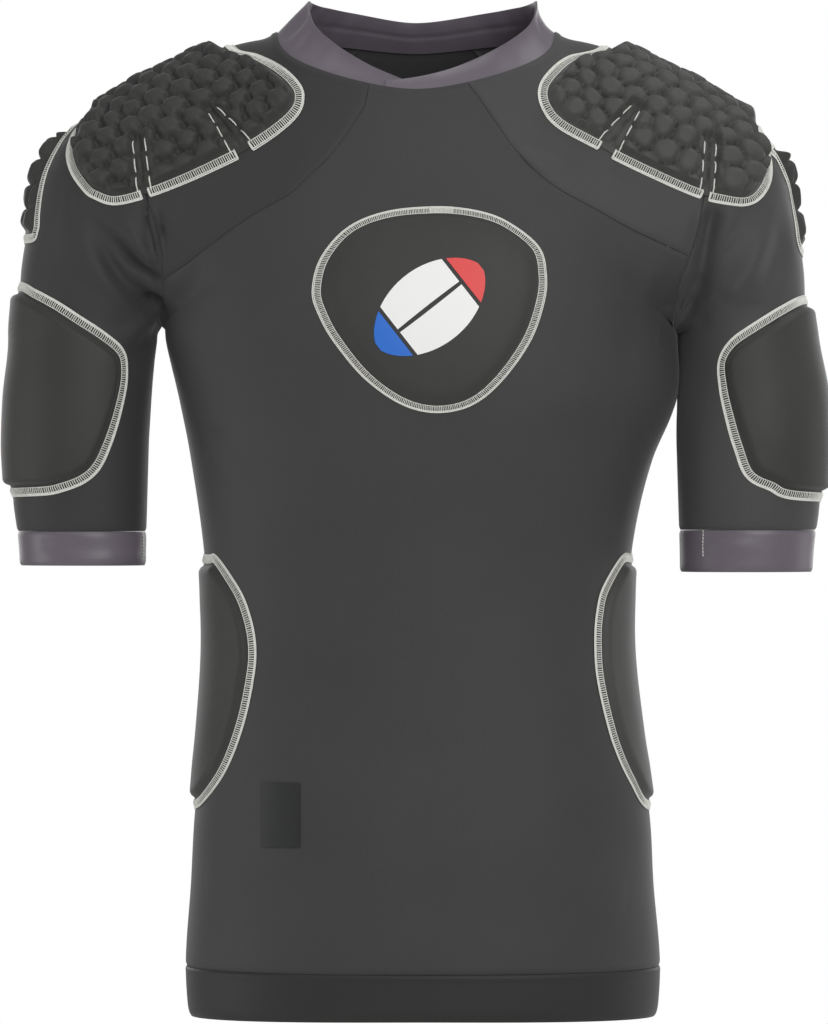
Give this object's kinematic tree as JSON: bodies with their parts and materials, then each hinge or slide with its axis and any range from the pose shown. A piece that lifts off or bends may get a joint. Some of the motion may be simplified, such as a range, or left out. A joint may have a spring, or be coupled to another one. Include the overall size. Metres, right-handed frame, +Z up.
{
  "type": "rugby shoulder pads",
  "caption": "Close-fitting short-sleeved padded top with bubble-foam shoulder pads and smooth foam pads on arms, ribs and chest, filled out as worn, open at neck, cuffs and hem.",
  "frame": {"origin": "between the shoulders, level with the seam where the collar meets the shoulder line, on the middle plane", "axes": "+Z up along the body, -Y towards the front, +X towards the wearer's left"},
  "size_m": [0.5965, 0.234, 0.7296],
  "materials": {
    "stretch_jersey": "smooth charcoal polyester and elastane jersey with a faint sheen",
    "satin_jersey": "mauve-grey satin-faced jersey",
    "foam_pad": "charcoal jersey bonded over moulded foam",
    "label_film": "thin dark heat-transfer film"
  },
  "bodies": {
    "root": {"front_body": "stretch_jersey", "back_body": "stretch_jersey", "yoke_left": "stretch_jersey", "yoke_right": "stretch_jersey", "sleeve_left": "stretch_jersey", "sleeve_right": "stretch_jersey", "hem_band": "stretch_jersey", "cuff_left": "satin_jersey", "cuff_right": "satin_jersey", "collar": "satin_jersey", "shoulder_pad_left": "foam_pad", "shoulder_pad_right": "foam_pad", "arm_cap_pad_left": "foam_pad", "arm_cap_pad_right": "foam_pad", "biceps_pad_left": "foam_pad", "biceps_pad_right": "foam_pad", "rib_pad_left": "foam_pad", "rib_pad_right": "foam_pad", "chest_pad": "foam_pad", "label": "label_film"}
  },
  "joints": []
}
